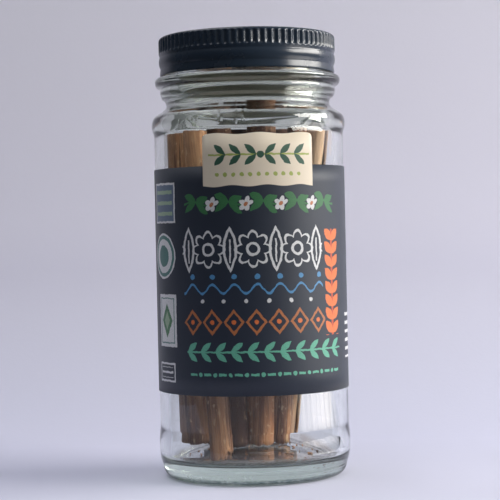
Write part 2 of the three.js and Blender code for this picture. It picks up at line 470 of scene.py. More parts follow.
def close_angles(places, reach, step):
    """Angles close together round each of these places, all in degrees."""
    near = np.arange(-reach, reach + step / 2, step)
    return np.radians(np.concatenate([place + near for place in places])) % (2 * np.pi)


def add_mould_marks(obj):
    """Pushes the dots and the seams out of the glass, away from the axis."""
    points = np.array([v.co for v in obj.data.vertices])
    radius = np.hypot(points[:, 0], points[:, 1])
    angle = np.arctan2(points[:, 0], -points[:, 1])
    outside = radius > NECK_RADIUS - 0.1 * MM
    push = np.zeros(len(points))
    for degrees, height in MOULD_DOTS:
        aside = (angle - math.radians(degrees)) * radius
        reach = np.hypot(aside, points[:, 2] - height * MM) / DOT_RADIUS
        push += DOT_HEIGHT * np.sqrt(np.clip(1 - reach**2, 0, 1))
    for degrees in SEAMS:
        aside = np.abs(angle - math.radians(degrees)) * radius
        push += SEAM_HEIGHT * np.clip(1 - aside / SEAM_WIDTH, 0, 1) * (points[:, 2] > SEAM_FROM)
    push *= outside / np.maximum(radius, MM)
    for vertex, point, share in zip(obj.data.vertices, points, push):
        vertex.co.x, vertex.co.y = point[0] * (1 + share), point[1] * (1 + share)


dot_angles = close_angles([a for a, _ in MOULD_DOTS], 1.1, 0.22)
seam_angles = close_angles(SEAMS, 0.75, 0.25)
angles = np.unique(np.round(np.concatenate([even_angles(COLUMNS), dot_angles, seam_angles]), 5))
jar = turn("glass_jar", trace((0, HOLLOW), *JAR_OUTLINE, curved=0.36, straight=4.5), angles)
add_mould_marks(jar)
report(jar)

# %% [markdown]
# Two shapes follow a rule round the axis: the flutes of the lid, and the short
# notches under the jar, which keep hot glass off the belt in the factory. One
# tree of Geometry Nodes makes both. It pushes points towards the axis in a
# wave, within a band of heights and outside a given radius.

# %% Notches round a ring
notches, inside, outside = new_modifier_tree(
    "notches round a ring",
    ("Count", "Int", 80),
    ("Depth", "Float", 0.3 * MM),
    ("Low", "Float", 0.0),
    ("High", "Float", 1 * MM),
    ("Fade", "Float", 0.5 * MM),
    ("Outside radius", "Float", 20 * MM))
x, y, z = split(notches, position(notches))
count, depth, low, high, fade, outer = wires(
    notches, inside, "Count", "Depth", "Low", "High", "Fade", "Outside radius")
radius = distance(x, y)
wave = (x.then("ARCTAN2", y) * count).then("COSINE") * 0.5 + 0.5
band = ramp(z, low, low + fade) * ramp(z, high - fade, high, 1, 0)
push = wave * band * ramp(radius, outer, outer + 0.2 * MM) * depth / radius
moved = displace(notches, inside.outputs["Geometry"],
                 offset=combine(notches, 0 - x * push, 0 - y * push, 0))
finish_tree(notches, moved, inside.outputs["Material"], outside)
print("notches:", len(notches.nodes), "nodes")

# %% [markdown]
# Pressed glass is smooth outside, where the mould was, and gently wavy inside,
# where air shaped it. The waves are far too shallow to see as a shape, but they
# bend what is seen through them, and without them the jar looks like plastic.

# %% Waves on the inside of the glass
waves, inside, outside = new_modifier_tree(
    "waves in glass", ("Height", "Float", 0.1 * MM), ("Scale", "Float", 90.0))
height, scale = wires(waves, inside, "Height", "Scale")
x, y, z = split(waves, position(waves))
radius = distance(x, y)
# The floor has the strongest waves, and the wall more of them from the shoulder up.
floor_share = ramp(radius, 17 * MM, 19 * MM, 1.5, 0) * ramp(z, 20 * MM, 21 * MM, 1, 0)
wall_share = ramp(z, 5 * MM, 9 * MM)
wall_share = wall_share * ramp(radius, (INSIDE + 0.1) * MM, (INSIDE + 0.3) * MM, 1, 0)
wall_share = wall_share * ramp(z, SHOULDER_LOW * MM, (SHOULDER_LOW + 4) * MM, 1, 1.6)
ripple = noise(waves, combine(waves, x, y, z * 0.5), scale, 2)
lift = (ripple - 0.5) * height * floor_share.then("MAXIMUM", wall_share)
normal = split(waves, waves.nodes.new("GeometryNodeInputNormal").outputs[0])
moved = displace(waves, inside.outputs["Geometry"],
                 offset=combine(waves, *[n * lift for n in normal]))
finish_tree(waves, moved, inside.outputs["Material"], outside)
print("waves:", len(waves.nodes), "nodes")

# %% [markdown]
# Clear glass has hardly any colour of its own. What little it has, a pale
# green, comes from the way through it, so it is set as an absorption in the
# volume: thin walls stay clear and the thick base and edges turn green. Light
# from the lamps would be stopped by a glass shader, because Cycles doesn't
# trace the bent paths, so rays that test for shadow see a plain clear film. It
# is darker at the thick base, which keeps more of the light. The neck is a
# little rough, as the mould leaves it, and blurs what is seen through it. From
# the shoulder up the glass is also tinted grey, which is painted shade for the
# dim neck under the lid. The ring that the jar stands on has a stippling, and
# is painted a darker grey: partly for the stippling, partly as a painted
# contact shadow along the bottom edge. Bark dust lies on the floor inside, and
# gives it a thin brown film.

# %% Glass
glass, tree, shader = new_material("clear_glass", ior=1.5, transmission_weight=1.0)
place = own_place(tree)
add_grain(tree, shader, place, 180.0, 0.7, 0.012 * MM)
x, y, z = split(tree, place)
radius = distance(x, y)
CLEAR, NECK_SHADE_GREY = (0.985, 0.995, 0.99, 1), (0.80, 0.82, 0.78, 1)
STIPPLE_AND_CONTACT_SHADE, DUST_BROWN = (0.09, 0.12, 0.125, 1), (0.60, 0.48, 0.40, 1)
# Painted shade: from the shoulder up the glass is tinted grey, for the dim neck under the lid.
neck_shade_share = ramp(z, SHOULDER_LOW * MM, (SHOULDER_LOW + 3) * MM)
colour = blend_colours(tree, neck_shade_share, CLEAR, NECK_SHADE_GREY)
# Painted contact shadow, together with the real stippling: the ring that the jar stands on is
# darkened grey.
stipple_and_contact_shade = ramp(z, 1.2 * MM, 1.8 * MM, 1, 0) * ramp(noise(tree, place, 1300, 2), 0.3, 0.6, 0.4, 1)
colour = blend_colours(tree, stipple_and_contact_shade, colour, STIPPLE_AND_CONTACT_SHADE)
floor_low, floor_high = FLOOR_EDGE * MM, (FLOOR_EDGE + FLOOR_RISE) * MM
dust = ramp(z, floor_low - 0.2 * MM, floor_low)
dust = dust * ramp(z, floor_high + 0.2 * MM, floor_high + 0.7 * MM, 1, 0)
dust = dust * ramp(radius, (INSIDE - 0.6) * MM, (INSIDE - 0.1) * MM, 1, 0)
dust = dust * ramp(noise(tree, place, 260, 4, 0.6), 0.35, 0.7, 0.5, 1)
colour = blend_colours(tree, dust, colour, DUST_BROWN)
dullness = ramp(z, SHOULDER_LOW * MM, (SHOULDER_LOW + 5) * MM, 0, 0.1)
feed(tree, shader.inputs["Base Color"], colour)
feed(tree, shader.inputs["Roughness"], dullness + dust * 0.12)
print("glass:", len(tree.nodes), "nodes")

# %% Shadow and depth of the glass
film = tree.nodes.new("ShaderNodeBsdfTransparent")
feed(tree, film.inputs["Color"], blend_colours(
    tree, ramp(z, 2 * MM, 6 * MM), (0.2, 0.22, 0.215, 1), (0.9, 0.93, 0.92, 1)))
shadow_ray = tree.nodes.new("ShaderNodeLightPath").outputs["Is Shadow Ray"]
choose_shader(tree, shadow_ray, shader, film)
absorb = tree.nodes.new("ShaderNodeVolumeAbsorption")
absorb.inputs["Color"].default_value = (0.62, 0.73, 0.62, 1)
absorb.inputs["Density"].default_value = 30
tree.links.new(absorb.outputs[0], tree.nodes["Material Output"].inputs["Volume"])

# %% Finish the jar
grow(jar, notches, {
    "Count": 110, "Depth": 0.2 * MM, "Low": 0.02 * MM, "High": 2.4 * MM,
    "Fade": 0.3 * MM, "Outside radius": 20.65 * MM, "Material": glass})
grow(jar, waves, {"Height": 0.12 * MM, "Scale": 90.0, "Material": glass})
stand_for(jar, "jar")

# %% [markdown]
# ## Lid
#
# The lid is pressed from tinplate, lacquered black outside and pale inside.
# Below a fluted band for the fingers, the sheet runs in to a groove, out over a
# bead and ends in a rolled edge. The flutes come from the tree made above.

# %% Lid
# Millimetres: radii and heights.
LID_RADIUS, LID_TOP = 22.05, 109.6
LID_INSIDE, LID_CEILING = 21.2, 108.65
FLUTES, FLUTE_DEPTH, FLUTE_LOW, FLUTE_HIGH = 80, 0.46, 105.2, 109.2
LID_OUTLINE = [
    (20.6, LID_CEILING),  # inside
    (LID_INSIDE, 107.85),
    (21.1, 100.2),
    (21.3, 99.8),  # rolled edge
    (21.95, 99.8, 21.8, 100.4),
    (21.65, 101.7),  # waist, bead and groove
    (22.35, 103.1, 21.8, 104.6),
    (LID_RADIUS, 105.5),
    (LID_RADIUS, 108.4),  # fluted band
    (LID_RADIUS, LID_TOP, 20, LID_TOP),
    (17.5, LID_TOP),  # top with its pressed panel
    (17.35, 109.58, 17.25, 109.45),
    (17, 109.25, 16.5, 109.25),
    (0, 109.25),
]
lid = turn("screw_lid", trace((0, LID_CEILING), *LID_OUTLINE, curved=0.25, straight=0.5),
           even_angles(7 * FLUTES))

# %% [markdown]
# Lacquer is a smooth, nearly black film with a clear gloss. Fingers dull it in
# patches, the crests of the flutes lose a little of it, and a few pale specks
# are dust. Masks for these come from the shared effects and from the shape, and
# they change the colour a little and the roughness more.

# %% Lacquer
lacquer, tree, shader = new_material("black_lacquer", roughness=0.25, ior=1.5)
place = own_place(tree)
x, y, z = split(tree, place)
dull, speck = place_effect(tree, handling, place=place, amount=0.8)
add_grain(tree, shader, place, 1500.0, 0.7, 0.02 * MM)
radius = distance(x, y)
crest = ramp(radius, (LID_RADIUS - 0.07) * MM, LID_RADIUS * MM) * ramp(z, 105 * MM, 106 * MM)
worn = crest * ramp(noise(tree, place, 700, 4, 0.7), 0.5, 0.62)
BLACK, WORN_BLACK = (0.014, 0.026, 0.046, 1), (0.05, 0.055, 0.065, 1)
SPECK_GREY, PALE_INSIDE = (0.09, 0.095, 0.1, 1), (0.42, 0.38, 0.33, 1)
colour = blend_colours(tree, worn * 0.5, BLACK, WORN_BLACK)
colour = blend_colours(tree, speck * 0.4, colour, SPECK_GREY)
hidden = ramp(radius, (LID_INSIDE + 0.1) * MM, (LID_INSIDE + 0.2) * MM, 1, 0)
hidden = hidden * ramp(z, (LID_CEILING + 0.05) * MM, (LID_CEILING + 0.25) * MM, 1, 0)
colour = blend_colours(tree, hidden, colour, PALE_INSIDE)
feed(tree, shader.inputs["Base Color"], colour)
feed(tree, shader.inputs["Roughness"], 0.23 + dull * 0.16 + worn * 0.1)
print("lacquer:", len(tree.nodes), "nodes")

# %% Finish the lid
grow(lid, notches, {
    "Count": FLUTES, "Depth": FLUTE_DEPTH * MM, "Low": FLUTE_LOW * MM, "High": FLUTE_HIGH * MM,
    "Fade": 0.8 * MM, "Outside radius": (LID_INSIDE + 0.2) * MM, "Material": lacquer})
stand_for(lid, "lid")

# %% [markdown]
# ## Label
#
# The label is one strip of paper glued round the jar, with a narrow gap left
# at the back. Its upper edge rises into a tab at the front. The paper is a
# grid of columns and rows bent round the glass, and Solidify gives it its
# thickness: the print outside, and plain paper on the inner side and the edges.

# %% Label shape
LABEL_RADIUS = 23.66 * MM
LABEL_THICKNESS = 0.14 * MM
LABEL_LOW, LABEL_HIGH = 21.7 * MM, 76.5 * MM
LABEL_ROWS, LABEL_COLUMNS = 14, 361
LABEL_GAP = 1.6 * MM  # bare strip between the two ends
TAB_LOW, TAB_HIGH = 71.6 * MM, 84 * MM
TAB_FROM, TAB_TO = math.radians(-27.7), math.radians(39.4)
TAB_CORNER = 1.0 * MM
TAB_WAVE, TAB_WAVES_PER_TURN = 0.2 * MM, 14


def label_top(angle):
    if not TAB_FROM < angle < TAB_TO:
        return LABEL_HIGH
    arc = min(angle - TAB_FROM, TAB_TO - angle) * LABEL_RADIUS
    inset = max(TAB_CORNER - arc, 0)
    rounding = TAB_CORNER - math.sqrt(TAB_CORNER**2 - inset**2)
    return TAB_HIGH - rounding + TAB_WAVE * math.sin(TAB_WAVES_PER_TURN * angle)


end = math.pi - LABEL_GAP / 2 / LABEL_RADIUS
corner = np.append(np.linspace(0, 0.06, 14), 0.0006)  # close columns at the tab's edges
angles = np.unique(np.concatenate(
    [np.linspace(-end, end, LABEL_COLUMNS), TAB_FROM + corner, TAB_TO - corner]))
tops = np.array([label_top(a) for a in angles])
heights = LABEL_LOW + np.outer(np.linspace(0, 1, LABEL_ROWS), tops - LABEL_LOW)
x = np.broadcast_to(LABEL_RADIUS * np.sin(angles), heights.shape)
y = np.broadcast_to(-LABEL_RADIUS * np.cos(angles), heights.shape)
columns = len(angles)
faces = []
for i in range(LABEL_ROWS - 1):
    for j in range(columns - 1):
        low, high = i * columns + j, (i + 1) * columns + j
        faces.append((low, low + 1, high + 1, high))
label = make_mesh("paper_label", np.stack([x, y, heights], axis=-1).reshape(-1, 3), faces)
thick = label.modifiers.new("thickness", "SOLIDIFY")
thick.thickness = LABEL_THICKNESS
thick.offset = 1
thick.material_offset = thick.material_offset_rim = 1
print("label:", columns, "columns,", LABEL_ROWS, "rows")

# %% [markdown]
# The print is drawn by formulas. Unrolled, the label is a flat sheet: the
# angle round the jar times its radius gives the millimetres from the middle of
# the front, and the height is the other coordinate. Each row of ornaments
# repeats one shape along that sheet. A shape is a number that is positive
# inside and negative outside, so one formula gives both the filled shape and,
# where the number is near zero, its outline. A little noise in the coordinates
# makes the strokes look as if they were drawn by hand in chalk.

# %% Shapes for the print
STROKE = 0.62  # millimetres, width of a chalk line
SOFT = 0.06  # millimetres, half the width over which an edge fades


def repeat(wire, period):
    """The distance from the middle of the nearest cell."""
    return wire.then("WRAP", period / 2, -period / 2)


def rotated(x, y, degrees):
    c, s = math.cos(math.radians(degrees)), math.sin(math.radians(degrees))
    return x * c + y * s, y * c - x * s


def leaf(x, y, length, width):
    """Positive inside a pointed leaf that starts at the origin and lies along x."""
    along = (x - length / 2) / (length / 2)
    return (1 - along * along) * (width / 2) - abs(y)


def flower(x, y, radius, petals, depth=0.28):
    """Positive inside a flower with round petals."""
    angle = y.then("ARCTAN2", x)
    bulge = abs((angle * (petals / 2)).then("COSINE"))
    return (bulge * depth + (1 - depth)) * radius - distance(x, y)


def disc(x, y, radius):
    return radius - distance(x, y)


def plate(x, y, width, height):
    """Positive inside a rectangle."""
    return (width / 2 - abs(x)).then("MINIMUM", height / 2 - abs(y))


def filled(inside):
    return ramp(inside, -SOFT, SOFT)


def outlined(inside, width=STROKE):
    return ramp(abs(inside), width / 2 - SOFT, width / 2 + SOFT, 1, 0)


def between(wire, low, high):
    return filled((wire - low).then("MINIMUM", high - wire))


# %% Printed paper
paper, tree, shader = new_material(
    "printed_paper", ior=1.45, specular_ior_level=0.65, sheen_weight=0.16, sheen_roughness=0.48)
place = own_place(tree)
x, y, z = split(tree, place)
sheet = combine(tree, x.then("ARCTAN2", 0 - y) * (LABEL_RADIUS / MM), z / MM, 0.0)
across, up, _ = split(tree, sheet)
shake = [(noise(tree, sheet, scale, 2) - 0.5) * 0.5 for scale in (0.7, 0.9)]
u, v = across + shake[0], up + shake[1]
chalk = ramp(noise(tree, sheet, 5.5, 3, 0.7), 0.30, 0.5, 0.45, 1)

NAVY, PALE_NAVY = (0.0050, 0.0125, 0.031, 1), (0.0075, 0.0155, 0.035, 1)
CREAM, DARK_CREAM = (0.80, 0.70, 0.56, 1), (0.68, 0.57, 0.43, 1)
WHITE = (0.70, 0.70, 0.71, 1)
GREEN, DARK_GREEN = (0.028, 0.16, 0.05, 1), (0.02, 0.085, 0.05, 1)
LIGHT_GREEN, PALE_GREEN = (0.36, 0.42, 0.10, 1), (0.30, 0.42, 0.28, 1)
BLUE, MINT = (0.075, 0.26, 0.50, 1), (0.12, 0.43, 0.30, 1)
SLATE, TEAL = (0.11, 0.16, 0.24, 1), (0.05, 0.17, 0.15, 1)
ORANGE, DEEP_ORANGE = (0.74, 0.17, 0.035, 1), (0.55, 0.07, 0.015, 1)
COPPER = (0.46, 0.15, 0.045, 1)

layers = []  # (mask, colour), from the lowest to the topmost


def draw(mask, paint):
    layers.append((mask, paint))


# Heights of the rows and of the patches, in millimetres above the table.
GARLAND_Z, BLOSSOM_Z, WAVE_Z, DIAMOND_Z, BRANCH_Z, DASH_Z = 67.6, 56.6, 47.2, 39.3, 32.2, 26.8
STRIPES_Z, BADGE_Z, LOZENGE_Z, BARS_Z = 68.1, 55.2, 39.5, 26.9
SPRIG_Z, DOTS_Z = 79.0, 74.3  # on the tab

# %% Garland: leaves along a line, and small blossoms between them
near = repeat(u - 3.2, 8.4)
row = v - GARLAND_Z - (u * 0.75).then("SINE") * 0.5
field = between(across, -17.2, 23.6)
draw(outlined(row, 0.5) * field, GREEN)
for degrees in (32, 148, -32, -148):
    draw(filled(leaf(*rotated(near, row, degrees), 3.9, 1.7)) * field, GREEN)
half = repeat(u + 1.0, 8.4)
field = between(across, -13.6, 20)
draw(filled(flower(half, row, 1.75, 5, 0.45)) * field, WHITE)
draw(filled(disc(half, row, 0.5)) * field, COPPER)

# %% Large blossoms and tall leaves, in outline
near = repeat(u - 0.5, 11)
row = v - BLOSSOM_Z
field = between(across, -18, 19)
blossom = flower(near, row, 4.2, 8, 0.3)
draw(outlined(blossom) * field, WHITE)
draw(outlined(disc(near, row, 1.35)) * field, WHITE)
half = repeat(u + 5, 11)
tall = leaf(*rotated(half, row + 5.0, 90), 10.0, 2.9)
draw(outlined(tall) * field, WHITE)
draw(outlined(half, 0.4) * between(v, 53.4, 59) * field, WHITE)

# %% Wavy line with drops above and below it
WAVE_RATE = 1.15  # radians per millimetre
wave = (u * WAVE_RATE).then("SINE")
row = v - WAVE_Z
field = between(across, -17.7, 19)
draw(outlined(row - wave * 1.1) * field, BLUE)
near = repeat(u - 1.37, 2 * math.pi / WAVE_RATE)
draw(filled(disc(near, row - 2.9, 0.65)) * field, BLUE)
near = repeat(u + 1.37, 2 * math.pi / WAVE_RATE)
draw(filled(disc(near, row + 2.9, 0.5)) * between(across, -15, 17), WHITE)

# %% Chain of diamonds
near = repeat(u - 1, 5.4)
row = v - DIAMOND_Z
field = between(across, -17.9, 19.6)
diamond = 2.2 - abs(near) - abs(row) * 0.82
draw(outlined(diamond, 0.75) * field, COPPER)
draw(filled(disc(near, row, 0.55)) * field, ORANGE)

# %% Branch with leaves in pairs, and dashes and dots below it
near = repeat(u - 0.4, 3.9)
row = v - BRANCH_Z
field = between(across, -17.1, 25.7)
draw(outlined(row, 0.42) * field, MINT)
for degrees in (40, -40):
    draw(filled(leaf(*rotated(near + 1.7, row, degrees), 3.6, 1.4)) * field, MINT)
row = v - DASH_Z
draw(filled(plate(near, row, 1.9, 0.6)) * field, MINT)
near = repeat(u + 1.55, 3.9)
draw(filled(disc(near, row, 0.5)) * between(across, -15.5, 24.5), MINT)

# %% Tall orange branch at the right
near = u - 22.6
field = between(v, 35.4, 61)
draw(outlined(near, 0.8) * field, DEEP_ORANGE)
cell = repeat(v - 37.4, 3.2)
for degrees in (42, -42):
    draw(filled(leaf(*rotated(cell + 1.6, near, degrees), 4.0, 2.2)) * field, ORANGE)

# %% Plain patches at the left end of the printed field
patch = plate(u + 25.9, v - STRIPES_Z, 10.2, 9.3)
draw(filled(patch), SLATE)
bars = repeat(v - STRIPES_Z, 2.6)
draw(outlined(bars, 0.9) * filled(patch - 0.9), PALE_GREEN)
draw(outlined(patch, 0.5), WHITE)
round_patch = disc(u + 26.3, v - BADGE_Z, 5.3)
draw(filled(round_patch), TEAL)
draw(outlined(round_patch - 1.9, 1.5), WHITE)
draw(outlined(round_patch, 0.5), WHITE)
patch = plate(u + 25.1, v - LOZENGE_Z, 8.6, 12.8)
draw(filled(patch), WHITE)
draw(outlined(patch - 1.0, 0.3), TEAL)
lozenge = 3.4 - abs(u + 25.1) * 1.3 - abs(v - LOZENGE_Z) * 0.8
draw(filled(lozenge), GREEN)
draw(filled(lozenge - 1.6), PALE_GREEN)
patch = plate(u + 25.7, v - BARS_Z, 7.6, 4.2)
draw(outlined(patch, 0.45), WHITE)
bars = repeat(v - BARS_Z, 1.4)
draw(outlined(bars, 0.5) * filled(patch - 0.8), WHITE)

# %% Short stack of bars, right of the branch
bars = repeat(v, 2.1)
draw(outlined(bars, 0.8) * filled(plate(u - 32.5, v - 35, 5, 11.5)), WHITE)
print("print on the dark paper:", len(layers), "layers")

# %% Ground and layers together
unevenness = ramp(noise(tree, sheet, 0.25, 3), 0.3, 0.7)
colour = blend_colours(tree, unevenness * 0.35, NAVY, PALE_NAVY)
for mask, paint in layers:
    colour = blend_colours(tree, mask * chalk, colour, paint)

# %% Cream tab, with a sprig of leaves and a row of dots
edge = TAB_LOW / MM - TAB_WAVE / MM * (across * 0.75).then("COSINE")
tab = between(across, TAB_FROM * LABEL_RADIUS / MM, TAB_TO * LABEL_RADIUS / MM)
tab = tab * filled(up - edge)
cream = blend_colours(tree, noise(tree, sheet, 0.35, 4) * 0.3, CREAM, DARK_CREAM)
outward = abs(u - 2.7)
near = repeat(outward - 2.6, 3.7)
row = v - SPRIG_Z
field = between(outward, 0.75, 11.85)
marks = [(outlined(row, 0.45) * between(outward, 0, 12.6), LIGHT_GREEN)]
for degrees in (42, -42):
    marks.append((filled(leaf(*rotated(near + 1.6, row, degrees), 3.7, 1.45)) * field, DARK_GREEN))
marks.append((filled(disc(u - 2.7, row, 0.85)), DARK_GREEN))
near = repeat(u - 0.2, 2.0)
marks.append((filled(disc(near, v - DOTS_Z, 0.5)) * between(across, -8.8, 13.2), LIGHT_GREEN))
for mask, paint in marks:
    cream = blend_colours(tree, mask, cream, paint)
colour = blend_colours(tree, tab, colour, cream)

# %% Finish of the paper
dull, _ = place_effect(tree, handling, place=place, amount=0.6)
add_grain(tree, shader, place, 1800.0, 0.55, 0.03 * MM)
feed(tree, shader.inputs["Base Color"], colour)
feed(tree, shader.inputs["Roughness"], 0.56 + dull * 0.08 + tab * 0.05)
print("print:", len(layers) + len(marks), "layers,", len(tree.nodes), "nodes")

# %% Back of the paper
plain, tree, shader = new_material("plain_paper", roughness=0.85)
place = own_place(tree)
height = add_grain(tree, shader, place, 1400.0, 0.5, 0.05 * MM)
colour = blend_colours(tree, height, (0.55, 0.53, 0.49, 1), (0.68, 0.66, 0.62, 1))
feed(tree, shader.inputs["Base Color"], colour)

# %% Finish the label
label.data.materials.append(paper)
label.data.materials.append(plain)
stand_for(label, "label")

# %% [markdown]
# ## Cinnamon sticks
#
# A cinnamon stick is a sheet of inner bark that curls up as it dries. So each
# one here is a sheet too: a grid whose long side runs up the stick and whose
# short side is rolled up round the stick's axis. After most of a turn the sheet
# passes under its own free edge and goes on rolling inwards, which leaves the
# groove that real sticks have. Noise makes the roll uneven and frays the ends.
# The tree stores where on the sheet each point lies, so that the fibres of the
# material can follow the bark, and a tone that changes from the stick's foot to
# its top. The tone is painted shade and light: sticks that stand in shadow are
# painted dark, and lit ones pale.

# %% Rolled bark, by Geometry Nodes
rolled, inside, outside = new_modifier_tree(
    "rolled bark",
    ("Foot", "Vector"),
    ("Top", "Vector"),
    ("Diameter", "Float", 6 * MM),
    ("Seam", "Float", 0.0),
    ("Seed", "Float", 0.0),
    ("Foot tone", "Float", 0.0),
    ("Top tone", "Float", 0.0),
    ("Ragged", "Float", 0.35 * MM))
UNDER, TURNS = math.radians(270), math.radians(800)  # where it starts to curl in, and its end
grid = rolled.nodes.new("GeometryNodeMeshGrid")
for name, value in (("Size X", 1), ("Size Y", 1), ("Vertices X", 110), ("Vertices Y", 112)):
    grid.inputs[name].default_value = value
u, v, _ = split(rolled, position(rolled))
u, v = u + 0.5, v + 0.5
diameter, seam, seed, ragged, foot_shading, top_shading = wires(
    rolled, inside, "Diameter", "Seam", "Seed", "Ragged", "Foot tone", "Top tone")
turn_angle = v * TURNS
curl = ramp(turn_angle, UNDER, math.radians(360), 0, 0.34)
curl = curl + ramp(turn_angle, math.radians(360), TURNS, 0, 0.36, smooth=False)
dents = noise(rolled, combine(rolled, v * 9 + seed, u * 2.2, seed), 1.0, 2)
fibres = noise(rolled, combine(rolled, v * 110 + seed, u * 5, seed), 1.0, 2)
out = (1.0 - curl - dents * 0.09 - fibres * 0.045) * diameter * 0.5
direction = turn_angle + seam
foot, top = split(rolled, inside.outputs["Foot"]), split(rolled, inside.outputs["Top"])
middle = [a + (b - a) * u for a, b in zip(foot, top)]
fray = noise(rolled, combine(rolled, v * 26 + seed, u * 2, 3 + seed), 1.0)
fray = ramp(fray, 0.4, 0.7)
lift = fray * (ragged * ramp(u, 0, 0.05, 1, 0) - ramp(u, 0.97, 1) * 0.35 * MM)
# Painted shade and light: the stick's tone, dark where it stands in shadow and pale where it is
# lit.
tone = foot_shading + (top_shading - foot_shading) * u
toned = remember(rolled, grid.outputs["Mesh"], "tone", "FLOAT", tone)
sheet = combine(rolled, v * diameter * (TURNS / 2 / MM), middle[2] / MM, seed)
marked = remember(rolled, toned, "sheet", "FLOAT_VECTOR", sheet)
moved = displace(rolled, marked, position=combine(
    rolled, middle[0] + out * direction.then("COSINE"),
    middle[1] + out * direction.then("SINE"), middle[2] + lift))
finish_tree(rolled, moved, inside.outputs["Material"], outside)
print("rolled bark:", len(rolled.nodes), "nodes")

# %% [markdown]
# Bark is never one brown. Fine fibres run along the stick, broader bands are
# darker or lighter, some flakes of the pale outer skin were left on when it was
# scraped, and cracks and groove edges are nearly black. All of them are long
# and narrow, so every noise is stretched along the sheet.

# %% Bark
bark, tree, shader = new_material("bark", ior=1.45, specular_ior_level=0.3)
sheet = tree.nodes.new("ShaderNodeAttribute")
sheet.attribute_name = "sheet"
around, along, seed = split(tree, sheet.outputs["Vector"])
# The tone read here is painted shade and light, stored by the rolled-bark tree.
shade = tree.nodes.new("ShaderNodeAttribute")
shade.attribute_name = "tone"
tone = Wire(tree, shade.outputs["Fac"])


def fibre(width, length, detail=3.0, roughness=0.55):
    """Noise in streaks, in millimetres across and along the bark."""
    place = combine(tree, around / width, along / length, seed * 3.1)
    return noise(tree, place, 1.0, detail, roughness)


bands = fibre(2.6, 30)
streaks = fibre(0.85, 18, 4, 0.6)
hairs = fibre(0.16, 5, 3, 0.65)
flakes = ramp(fibre(0.8, 2.4, 5, 0.65), 0.57, 0.64) * ramp(fibre(4, 9), 0.42, 0.6)
cracks = ramp(fibre(0.45, 22, 2), 0.30, 0.38, 1, 0)
DARK_BAND, LIGHT_BAND = (0.105, 0.034, 0.017, 1), (0.30, 0.125, 0.053, 1)
STREAK, HAIR = (0.40, 0.20, 0.098, 1), (0.11, 0.045, 0.023, 1)
# The next two colours are painted shade and painted light for whole sticks: a dark brown for
# sticks in shadow, a pale tan for lit ones.
SHADED_STICK_BROWN, LIT_STICK_TAN = (0.04, 0.014, 0.010, 1), (0.575, 0.40, 0.275, 1)
OUTER_SKIN, CRACK = (0.58, 0.39, 0.24, 1), (0.045, 0.018, 0.010, 1)
colour = blend_colours(tree, ramp(bands, 0.38, 0.62), DARK_BAND, LIGHT_BAND)
for mask, paint in (
        (ramp(streaks, 0.42, 0.64) * 0.72, STREAK),
        (ramp(hairs, 0.48, 0.68) * 0.6, HAIR),
        # painted shade and painted light, by the stick's tone
        (ramp(tone, -1, 0, 0.95, 0, smooth=False), SHADED_STICK_BROWN),
        (ramp(tone, 0, 1, 0, 0.8, smooth=False), LIT_STICK_TAN),
        (flakes * 0.6, OUTER_SKIN),
        (cracks * 0.8, CRACK)):
    colour = blend_colours(tree, mask, colour, paint)
feed(tree, shader.inputs["Base Color"], colour)
feed(tree, shader.inputs["Roughness"], 0.62 + hairs * 0.3)
emboss(tree, shader, streaks * 0.5 + hairs * 0.35 + flakes * 0.2 - cracks * 0.5, 0.22 * MM)
print("bark:", len(tree.nodes), "nodes")

# %% [markdown]
# The sticks lean against the wall and against one another, so each one has its
# own foot on the domed floor, its own top, and a direction for its groove. Two
# of them are wedged and hang a little above the floor.

# %% Sticks in the jar
# Each stick's pair of shading values is painted shade and light: -1 paints it dark as if in
# shadow, 1 pale as if lit.
STICKS = {  # millimetres and degrees; tones, at foot and top, run from -1, dark, to 1, pale
    "left": dict(diameter=8.0, foot=(-15.2, 6.4), top=(-16.9, 1.0, 86.6), lift=1.4,
                 seam=250, painted_shading=(-0.45, 0.1), ragged=0.3),
    "front": dict(diameter=4.9, foot=(-7.8, -12.4), top=(-12.7, -11.0, 86.2),
                  seam=20, painted_shading=(0.1, 0.2), ragged=2.8),
    "inner": dict(diameter=5.4, foot=(-4.6, 5.5), top=(-7.5, -1.0, 88.8),
                  seam=130, painted_shading=(-1, -0.8), ragged=0.3),
    "back": dict(diameter=6.0, foot=(-4.4, 13.0), top=(-3.0, 10.0, 89.0),
                 seam=60, painted_shading=(-1, -0.9), ragged=0.3),
    "middle": dict(diameter=6.5, foot=(1.2, 7.0), top=(3.4, 4.5, 91.5),
                   seam=135, painted_shading=(0.0, -0.55), ragged=0.5),
    "right": dict(diameter=4.5, foot=(6.6, 9.6), top=(12.3, -1.0, 88.8),
                  seam=200, painted_shading=(-0.1, -0.25), ragged=0.3),
    "leaning": dict(diameter=5.6, foot=(8.2, 15.0), top=(17.8, 2.5, 87.0), lift=2.2,
                    seam=340, painted_shading=(0.4, 0.9), ragged=1.2),
    "rear_left": dict(diameter=5.6, foot=(-10.8, 13.0), top=(-10.5, 8.5, 88.8),
                      seam=90, painted_shading=(-1, -0.8), ragged=0.3),
    "rear_right": dict(diameter=5.6, foot=(2.0, 15.2), top=(8.5, 11.5, 88.8),
                       seam=40, painted_shading=(-1, -0.8), ragged=0.3),
}
BARK_THICKNESS = 0.11  # of the stick's diameter
SEED_STEP = 7.3  # between the noise of one stick and the next
FOOT_GAP = 0.15  # millimetres, between a foot and the glass


def floor_height(radius):
    return FLOOR_EDGE + FLOOR_RISE * (1 - (radius / FLOOR_RADIUS) ** 2)


